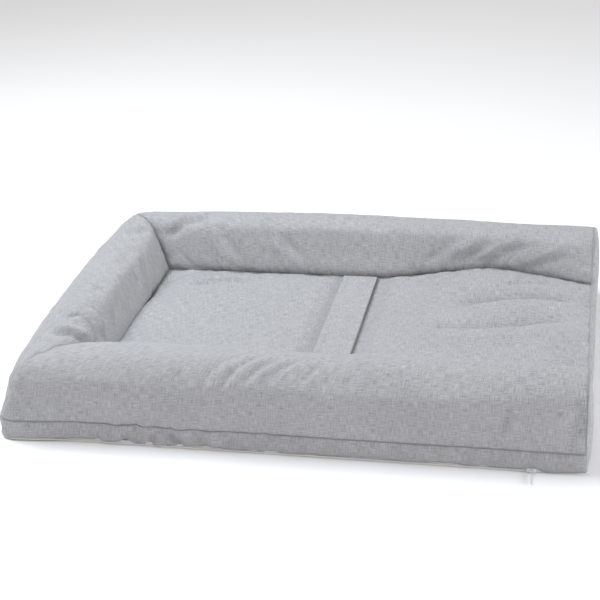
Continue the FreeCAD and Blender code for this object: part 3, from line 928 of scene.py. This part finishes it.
def belt_patches(materials):
    """The hook patch under the long strap's tip and the loop patch on the short strap."""
    patches = (("belt_hooks", "hook_patch", "belt_far_tip"), ("belt_loops", "loop_patch", "belt_near"))
    for name, slot, body in patches:
        node = f"belt_{slot}"
        low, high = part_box(node)
        middle, thick, width = (low.z + high.z) / 2, high.z - low.z, high.x - low.x
        patch = strap(name, low.y, high.y, middle, thick, width, hem=0, wave=0, grain=0.00012)
        finish_piece(patch, body, materials[slot], [node])


def belt_stitching(material, half_width, turn, fold, tip_end, top):
    """One row of stitches round the tip section, and one along each edge of the root section."""
    left, right, corner = BELT_X - half_width, BELT_X + half_width, 0.003
    edge = [(right, fold - 0.016, top), (right, tip_end + 0.010, top)]
    edge += [(right - corner, tip_end + 0.007, top), (left + corner, tip_end + 0.007, top)]
    edge += [(left, tip_end + 0.010, top), (left, fold - 0.016, top)]
    stitches("belt_tip_stitches", [edge], material, "belt_far_tip")
    lines = [[(x, turn - 0.010, top), (x, fold + 0.021, top)] for x in (left, right)]
    stitches("belt_root_stitches", lines, material, "belt_far_root")


def belt_pieces(materials):
    """The long strap in two sections and the short strap, each blended over its fold line."""
    far_low, far_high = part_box("belt_far_root")
    tip_low, tip_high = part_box("belt_far_tip")
    near_low, near_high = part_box("belt_near_strap")
    thick, width, tip_r, root_in = near_high.z - near_low.z, BELT_X1 - BELT_X0, 0.012, 0.0008
    far_z, near_z = (far_low.z + far_high.z) / 2, (near_low.z + near_high.z) / 2
    far_turn, near_turn, fold = far_high.y - thick / 2, near_low.y + thick / 2, tip_high.y - thick / 2
    cloth = materials["cover"]

    rise = from_crease(CREASE_Y, far_turn, far_z)
    root = strap("belt_long_root", CREASE_Y + root_in, fold + 0.014, rise, thick, width)
    finish_piece(root, None, cloth, ["belt_far_root", "belt_far_anchor"])
    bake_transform(root)

    tip = strap("belt_long_tip", fold + 0.020, tip_low.y, far_z, thick + 0.0003, width + 0.0006, tip_r)
    finish_piece(tip, None, cloth, ["belt_far_tip"])
    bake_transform(tip)

    rise = from_crease(-CREASE_Y, near_turn, near_z)
    near = strap("belt_short", -CREASE_Y - root_in, near_high.y, rise, thick, width, tip_r)
    finish_piece(near, None, cloth, ["belt_near_strap", "belt_near_anchor"])
    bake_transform(near)

    belt_patches(materials)
    top = far_z + thick / 2 + 0.00012
    belt_stitching(materials["thread"], width / 2 - 0.008, far_turn, fold, tip_low.y, top)


# ---- inside the cover ----
def foam_rim(side, material):
    """One rim's foam block: the rim's own section, smaller by the gap, swept between its mitres."""
    inner = offset_inward(rim_profile(), FOAM_GAP)
    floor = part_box(f"{side}_rim_foam")[0].z + 0.0015
    inner = inner[inner[:, 1] > floor]
    loop = [(inner[0][0], floor)] + [tuple(p) for p in inner] + [(inner[-1][0], floor)]
    s_values = np.linspace(0.012, 0.988, 40)
    verts = [side_point(side, s, u, z) for s in s_values for u, z in loop]
    size = len(loop)
    last = (len(s_values) - 1) * size
    faces = [tuple(range(size)), tuple(range(last, last + size))[::-1]]
    for i in range(len(s_values) - 1):
        for j in range(size):
            k, m = i * size + j, i * size + (j + 1) % size
            faces.append((k, k + size, m + size, m))
    piece = new_object(f"{side}_rim_block", verts, faces)
    tidy_block(piece, f"{side}_rim_foam", material)


def tidy_block(piece, node, material):
    """Rounds a block's edges and files it as the piece that stands for its CAD node."""
    face_outward(piece)
    soft = piece.modifiers.new("edges", "BEVEL")
    soft.width = 0.003
    soft.segments = 3
    soft.limit_method = "ANGLE"
    soft.angle_limit = math.radians(50)
    apply_modifiers(piece)
    shade_smooth(piece)
    finish_piece(piece, "pad", material, [node])


def slab(name, x0, x1, half_y, z0, z1, corner, node, material):
    """A flat block with rounded upright corners."""
    outline = []
    for cx, cy, start in ((x1, half_y, 0), (x0, half_y, 90), (x0, -half_y, 180), (x1, -half_y, 270)):
        for k in range(7):
            turn = math.radians(start + 15 * k)
            inward_x = math.copysign(corner, cx - (x0 + x1) / 2)
            inward_y = math.copysign(corner, cy)
            x = cx - inward_x + corner * math.cos(turn)
            y = cy - inward_y + corner * math.sin(turn)
            outline.append((x, y))
    n = len(outline)
    verts = [(x, y, z0) for x, y in outline] + [(x, y, z1) for x, y in outline]
    faces = [tuple(range(n))[::-1], tuple(range(n, 2 * n))]
    faces += [(k, (k + 1) % n, n + (k + 1) % n, n + k) for k in range(n)]
    piece = new_object(name, verts, faces)
    tidy_block(piece, node, material)


def base_cloth(material):
    """The pale underside: a sheet with rounded corners that rises a little at its sewn edge."""
    columns, rows = 71, 51
    xs, ys = np.linspace(-1, 1, columns), np.linspace(-1, 1, rows)
    half_x, half_y = (FOOT_X - HEAD_X) / 2, FAR_Y
    verts = []
    for v in ys:
        for u in xs:
            x, y = u * half_x, v * half_y
            a, b = half_x - abs(x), half_y - abs(y)
            r = HEAD_CORNER_R if x < 0 else 0.010
            if a < r and b < r:
                reach = math.hypot(r - a, r - b) / max(r - a, r - b)
                x = math.copysign(half_x - r + (r - a) / reach, x)
                y = math.copysign(half_y - r + (r - b) / reach, y)
            x += head_lean(x, 0.0)
            rim = float(smooth(1 - min(a, b) / 0.012))
            dimple = 0.0002 * noise.noise(Vector((x * 18, y * 18, 0)))
            lifted = FOOT_LIFT * rim * float(smooth((x - FOOT_X + 0.050) / 0.048))
            verts.append((x, y, 0.0003 + 0.0007 * rim + abs(dimple) + lifted))
    faces = []
    for j in range(rows - 1):
        for i in range(columns - 1):
            k = j * columns + i
            faces.append((k, k + 1, k + columns + 1, k + columns))
    piece = new_object("underside_cloth", verts, faces)
    uv = piece.data.uv_layers.new(name="Cloth")
    for loop in piece.data.loops:
        p = piece.data.vertices[loop.vertex_index].co
        uv.data[loop.index].uv = (p.x, p.y)
    add_thickness(piece, UNDERSIDE, 1)
    finish_piece(piece, "pad", material, ["base_panel"])


# ---- materials ----
def linear(red, green, blue):
    """A colour given as it looks on screen, 0 to 255, as the shader wants it."""
    shares = [level / 255 for level in (red, green, blue)]
    return tuple(s / 12.92 if s < 0.04 else ((s + 0.055) / 1.055) ** 2.4 for s in shares) + (1,)


class Shader:
    """A material and short ways to add its nodes."""

    def __init__(self, name):
        self.material = bpy.data.materials.new(name)
        self.material.use_nodes = True
        self.tree = self.material.node_tree
        self.surface = self.tree.nodes["Principled BSDF"]

    def add(self, kind, **inputs):
        """A node of one kind, with values or other nodes' outputs on its inputs."""
        node = self.tree.nodes.new(kind)
        for key, value in inputs.items():
            self.put(node, key.replace("_", " "), value)
        return node

    def put(self, node, key, value):
        """Links an output to an input, or sets the input's own value."""
        if isinstance(value, bpy.types.NodeSocket):
            self.tree.links.new(value, node.inputs[key])
        else:
            node.inputs[key].default_value = value

    def math(self, operation, a, b, c=None):
        """The result of an arithmetic node."""
        node = self.tree.nodes.new("ShaderNodeMath")
        node.operation = operation
        for i, value in enumerate((a, b, c)):
            if value is not None:
                self.put(node, i, value)
        return node.outputs[0]

    def cloth(self, across, along):
        """Cloth coordinates, stretched so that one unit is this far across and along, in metres."""
        place = self.tree.nodes.new("ShaderNodeUVMap")
        place.uv_map = "Cloth"
        scale = (1 / across, 1 / along, 1)
        return self.add("ShaderNodeMapping", Vector=place.outputs[0], Scale=scale).outputs[0]

    def object_space(self, size):
        """The piece's own coordinates, stretched so that one unit is this size in metres."""
        place = self.tree.nodes.new("ShaderNodeTexCoord")
        scale = (1 / size,) * 3
        return self.add("ShaderNodeMapping", Vector=place.outputs["Object"], Scale=scale).outputs[0]

    def noise(self, vector, detail=2.0, roughness=0.5):
        """A smooth random value from 0 to 1."""
        kind = "ShaderNodeTexNoise"
        return self.add(kind, Vector=vector, Scale=1.0, Detail=detail, Roughness=roughness).outputs[0]

    def shift(self, value, amount, tone):
        """The tone moved up or down by the amount, as the value goes from 0 to 1."""
        return self.math("MULTIPLY_ADD", self.math("SUBTRACT", value, 0.5), amount, tone)

    def mix(self, factor, a, b):
        """Colour a at factor 0, and b at 1."""
        node = self.tree.nodes.new("ShaderNodeMix")
        node.data_type = "RGBA"
        self.put(node, 0, factor)
        self.put(node, 6, a)
        self.put(node, 7, b)
        return node.outputs[2]

    def bump(self, height, distance, strength):
        """The surface's normal, roughened by a height."""
        return self.add("ShaderNodeBump", Height=height, Distance=distance, Strength=strength).outputs[0]

    def finish(self, **inputs):
        """Sets the surface's inputs, and gives the material."""
        for key, value in inputs.items():
            self.put(self.surface, key.replace("_", " "), value)
        return self.material


def woven(name, dark, light, yarn, slub, painted_seam_shade, sheen):
    """Plain-woven cloth of a dark and a light yarn, with uneven yarns that show as fine streaks, and
    painted shade along its seams.
    """
    s = Shader(name)
    weave = s.add("ShaderNodeTexChecker", Vector=s.cloth(yarn, yarn), Scale=1.0).outputs[1]
    weft = s.noise(s.cloth(0.012, 0.0008), 2.0, 0.5)
    warp = s.noise(s.cloth(0.0008, 0.012), 2.0, 0.5)
    fleck = s.noise(s.cloth(0.0015, 0.0015), 2.0, 0.7)
    patch = s.noise(s.object_space(0.09), 2.0)
    tone = s.math("MULTIPLY_ADD", weft, slub, 0.5 - slub / 2)
    for value, amount in ((warp, slub), (fleck, slub * 0.35), (weave, 0.16), (patch, 0.14)):
        tone = s.shift(value, amount, tone)
    colour = s.mix(tone, dark, light)
    # Painted shade: the seam_shade attribute darkens the cloth along its seams and creases, towards a
    # third of the dark yarn's colour.
    edge = s.tree.nodes.new("ShaderNodeAttribute")
    edge.attribute_name = "seam_shade"
    shadow = s.math("MULTIPLY", edge.outputs["Fac"], painted_seam_shade)
    colour = s.mix(shadow, colour, tuple(c * 0.35 for c in dark[:3]) + (1,))
    height = s.math("ADD", s.math("MULTIPLY", weft, 0.5), s.math("MULTIPLY", warp, 0.5))
    height = s.math("MULTIPLY_ADD", weave, 0.35, height)
    rough = s.math("MULTIPLY_ADD", fleck, 0.12, 0.84)
    normal = s.bump(height, 0.0005, 0.6)
    s.finish(Base_Color=colour, Roughness=rough, Normal=normal)
    return s.finish(Sheen_Weight=sheen, Sheen_Roughness=0.5)


def foamy(name, colour, deep_tone_and_pit_shade):
    """Open-cell foam, with painted shade in its cell pits and darker patches at random."""
    s = Shader(name)
    cells = s.tree.nodes.new("ShaderNodeTexVoronoi")
    s.put(cells, "Vector", s.object_space(0.0018))
    s.put(cells, "Scale", 1.0)
    tone = s.noise(s.object_space(0.06), 3.0)
    # Painted shade: the cell pits are mixed towards the deeper colour; the broad noise below darkens the
    # foam at random.
    base = s.mix(s.math("MULTIPLY", cells.outputs["Distance"], 0.6), deep_tone_and_pit_shade, colour)
    base = s.mix(s.math("MULTIPLY", tone, 0.25), base, deep_tone_and_pit_shade)
    return s.finish(Base_Color=base, Roughness=0.95, Normal=s.bump(cells.outputs["Distance"], 0.0006, 0.7))


def enamel(name, colour, worn):
    """Enamelled metal."""
    s = Shader(name)
    fine = s.noise(s.object_space(0.0009), 3.0)
    broad = s.noise(s.object_space(0.006), 2.0)
    base = s.mix(s.math("MULTIPLY", broad, 0.35), colour, worn)
    rough = s.math("MULTIPLY_ADD", fine, 0.2, 0.22)
    return s.finish(Base_Color=base, Roughness=rough, Metallic=0.35, Normal=s.bump(fine, 0.00003, 0.4))


def nylon(name, colour, shade):
    """Smooth plastic thread or coil."""
    s = Shader(name)
    fine = s.noise(s.object_space(0.0008), 2.0)
    base = s.mix(s.math("MULTIPLY", fine, 0.5), colour, shade)
    return s.finish(Base_Color=base, Roughness=0.42, Normal=s.bump(fine, 0.00006, 0.5))


def fuzzy(name, colour, shade, size, depth):
    """A surface of fine fibres, hooks or loops of this size."""
    s = Shader(name)
    loops = s.noise(s.object_space(size), 4.0, 0.7)
    base = s.mix(loops, shade, colour)
    return s.finish(Base_Color=base, Roughness=0.9, Normal=s.bump(loops, depth, 0.8), Sheen_Weight=0.3)


def make_materials():
    """Every material, by the name that the pieces ask for."""
    grey, pale_grey = linear(116, 118, 124), linear(200, 198, 199)
    lining, pale_lining = linear(205, 205, 203), linear(240, 240, 238)
    tape, pale_tape = linear(205, 204, 200), linear(246, 246, 244)
    return {
        "cover": woven("chambray", grey, pale_grey, yarn=0.0007, slub=1.05, painted_seam_shade=0.36, sheen=0.15),
        "underside": woven("pale_lining", lining, pale_lining, 0.0005, 0.5, 0.1, 0.1),
        "tape": woven("zip_tape_weave", tape, pale_tape, 0.0006, 0.4, 0.0, 0.1),
        "coil": nylon("white_nylon", linear(240, 240, 238), linear(214, 214, 210)),
        "metal": enamel("pale_enamel", linear(226, 228, 230), linear(186, 188, 192)),
        "foam": foamy("foam_cells", linear(246, 242, 226), linear(222, 214, 190)),
        "wadding": fuzzy("wadding_fibre", linear(248, 248, 246), linear(224, 224, 222), 0.004, 0.0012),
        "hook_patch": fuzzy("hooks", linear(150, 154, 162), linear(104, 108, 116), 0.0007, 0.0004),
        "loop_patch": fuzzy("loops", linear(166, 170, 178), linear(120, 124, 132), 0.0011, 0.0005),
        "thread": nylon("sewing_thread", linear(176, 180, 188), linear(146, 150, 160)),
    }


# ---- camera, light and floor ----
def aim(obj, target, roll=0.0):
    """Points a lamp or the camera at a place, and tilts it about its own line of sight."""
    look = (Vector(target) - obj.location).to_track_quat("-Z", "Y")
    obj.rotation_mode = "QUATERNION"
    obj.rotation_quaternion = look @ Quaternion((0, 0, 1), roll)


def area_light(name, place, target, size, power, tint):
    """A rectangular lamp at a place, pointed at a target."""
    light = bpy.data.lights.new(name, "AREA")
    light.shape = "RECTANGLE"
    light.size, light.size_y = size
    light.energy = power
    light.color = tint
    lamp = bpy.data.objects.new(name, light)
    lamp.location = place
    bpy.context.scene.collection.objects.link(lamp)
    aim(lamp, target)


def studio():
    """The camera at the photograph's angle, soft lamps, a pale world and a pale floor."""
    data = bpy.data.cameras.new("camera")
    data.sensor_width = 36
    data.lens = 87.6
    camera = bpy.data.objects.new("camera", data)
    camera.location = (0.3415, -1.7120, 0.9113)
    bpy.context.scene.collection.objects.link(camera)
    aim(camera, (-0.0538, 0.0980, 0.040), math.radians(-2.65))
    bpy.context.scene.camera = camera
    world = bpy.data.worlds.new("studio")
    world.use_nodes = True
    background = world.node_tree.nodes["Background"]
    background.inputs["Color"].default_value = (1.0, 0.955, 0.945, 1)
    background.inputs["Strength"].default_value = 0.58
    bpy.context.scene.world = world
    area_light("overhead", (-0.8, 0.05, 1.6), (0, 0, 0), (1.0, 1.0), 29, (0.86, 0.95, 1.0))
    area_light("front_fill", (0.8, -2.4, 1.0), (0, 0, 0), (1.6, 1.0), 5, (1.0, 0.93, 0.90))
    area_light("side_fill", (2.2, -0.4, 0.7), (0.3, 0, 0), (1.0, 0.8), 22, (0.86, 0.94, 1.0))
    floor = new_object("floor", [(-6, -6, 0), (6, -6, 0), (6, 6, 0), (-6, 6, 0)], [(0, 1, 2, 3)])
    paper = Shader("studio_paper")
    soft = paper.noise(paper.object_space(0.4), 2.0)
    tone = paper.mix(soft, (0.93, 0.93, 0.93, 1), (0.96, 0.96, 0.96, 1))
    floor.data.materials.append(paper.finish(Base_Color=tone, Roughness=0.9))
    bpy.context.scene.view_settings.view_transform = "Standard"


# ---- the whole object ----
# The CAD nodes that each panel stands for.
PANEL_NODES = {
    "centre": ["centre_panel", "liner_top"],
    "head_rim": ["head_rim_panel"],
    "near_rim": ["near_rim_panel"],
    "far_rim": ["far_rim_panel"],
    "head_band": ["head_band"],
    "near_band": ["near_band"],
    "far_band": ["far_band"],
    "foot_end": ["foot_end_panel", "liner_base"],
}


def foot_edge(cover):
    """The line of the foot seam, in order from the near side to the far side, above the band."""
    foot = PANELS.index("foot_end")
    panels = panels_by_vertex(cover)
    links = {}
    for edge in cover.data.edges:
        a, b = edge.vertices
        if all(foot in panels[v] and len(panels[v]) > 1 for v in (a, b)):
            links.setdefault(a, []).append(b)
            links.setdefault(b, []).append(a)
    co = coordinates(cover)
    ends = [v for v, near in links.items() if len(near) == 1]
    at = min(ends, key=lambda v: co[v][1])
    order, seen = [at], {at}
    while True:
        ahead = [v for v in links[order[-1]] if v not in seen]
        if not ahead:
            break
        order.append(ahead[0])
        seen.add(ahead[0])
    line = co[order]
    return line[line[:, 2] > SEAM_Z + 0.001]


def build_cover(materials):
    """The cover's panels and the piping on its foot seam."""
    cover = cover_grid()
    simulate(cover, seam_vertices(cover))
    sub = cover.modifiers.new("sub", "SUBSURF")
    sub.levels = sub.render_levels = 1
    apply_modifiers(cover)
    sculpt(cover)
    piping_piece(foot_edge(cover), materials["cover"])
    for index, panel in enumerate(PANELS):
        piece = split_panel(cover, index, f"{panel}_cloth")
        finish_piece(piece, "pad", materials["cover"], PANEL_NODES[panel])
    bpy.data.objects.remove(cover)


def dress_hardware(materials):
    """The slider, its pull and the stops keep their CAD shape, with eased edges and enamel."""
    for node in ("zip_slider", "zip_pull_tab", "zip_top_stops", "zip_bottom_stop"):
        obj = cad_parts[node]
        obj.data.materials.clear()
        obj.data.materials.append(materials["metal"])
        eased = obj.modifiers.new("eased", "BEVEL")
        eased.width = 0.00012
        eased.segments = 2
        eased.limit_method = "ANGLE"


def inner_slabs(materials):
    """The foam under the whole pad, and the wadding under the lying surface."""
    low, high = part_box("base_foam")
    gap = FOAM_GAP - 0.002
    slab("base_block", low.x + gap, high.x - gap, high.y - gap, low.z + 0.002, high.z - 0.001,
         corner=0.016, node="base_foam", material=materials["foam"])
    low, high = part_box("wadding_pad")
    slab("wadding_sheet", low.x + 0.008, high.x - 0.010, high.y - 0.008, low.z + 0.0005, high.z - 0.004,
         corner=0.010, node="wadding_pad", material=materials["wadding"])


def main():
    studio()
    materials = make_materials()
    build_cover(materials)
    base_cloth(materials["underside"])
    zip_pieces(materials)
    belt_pieces(materials)
    dress_hardware(materials)
    for side in ("head", "near", "far"):
        foam_rim(side, materials["foam"])
    inner_slabs(materials)


main()
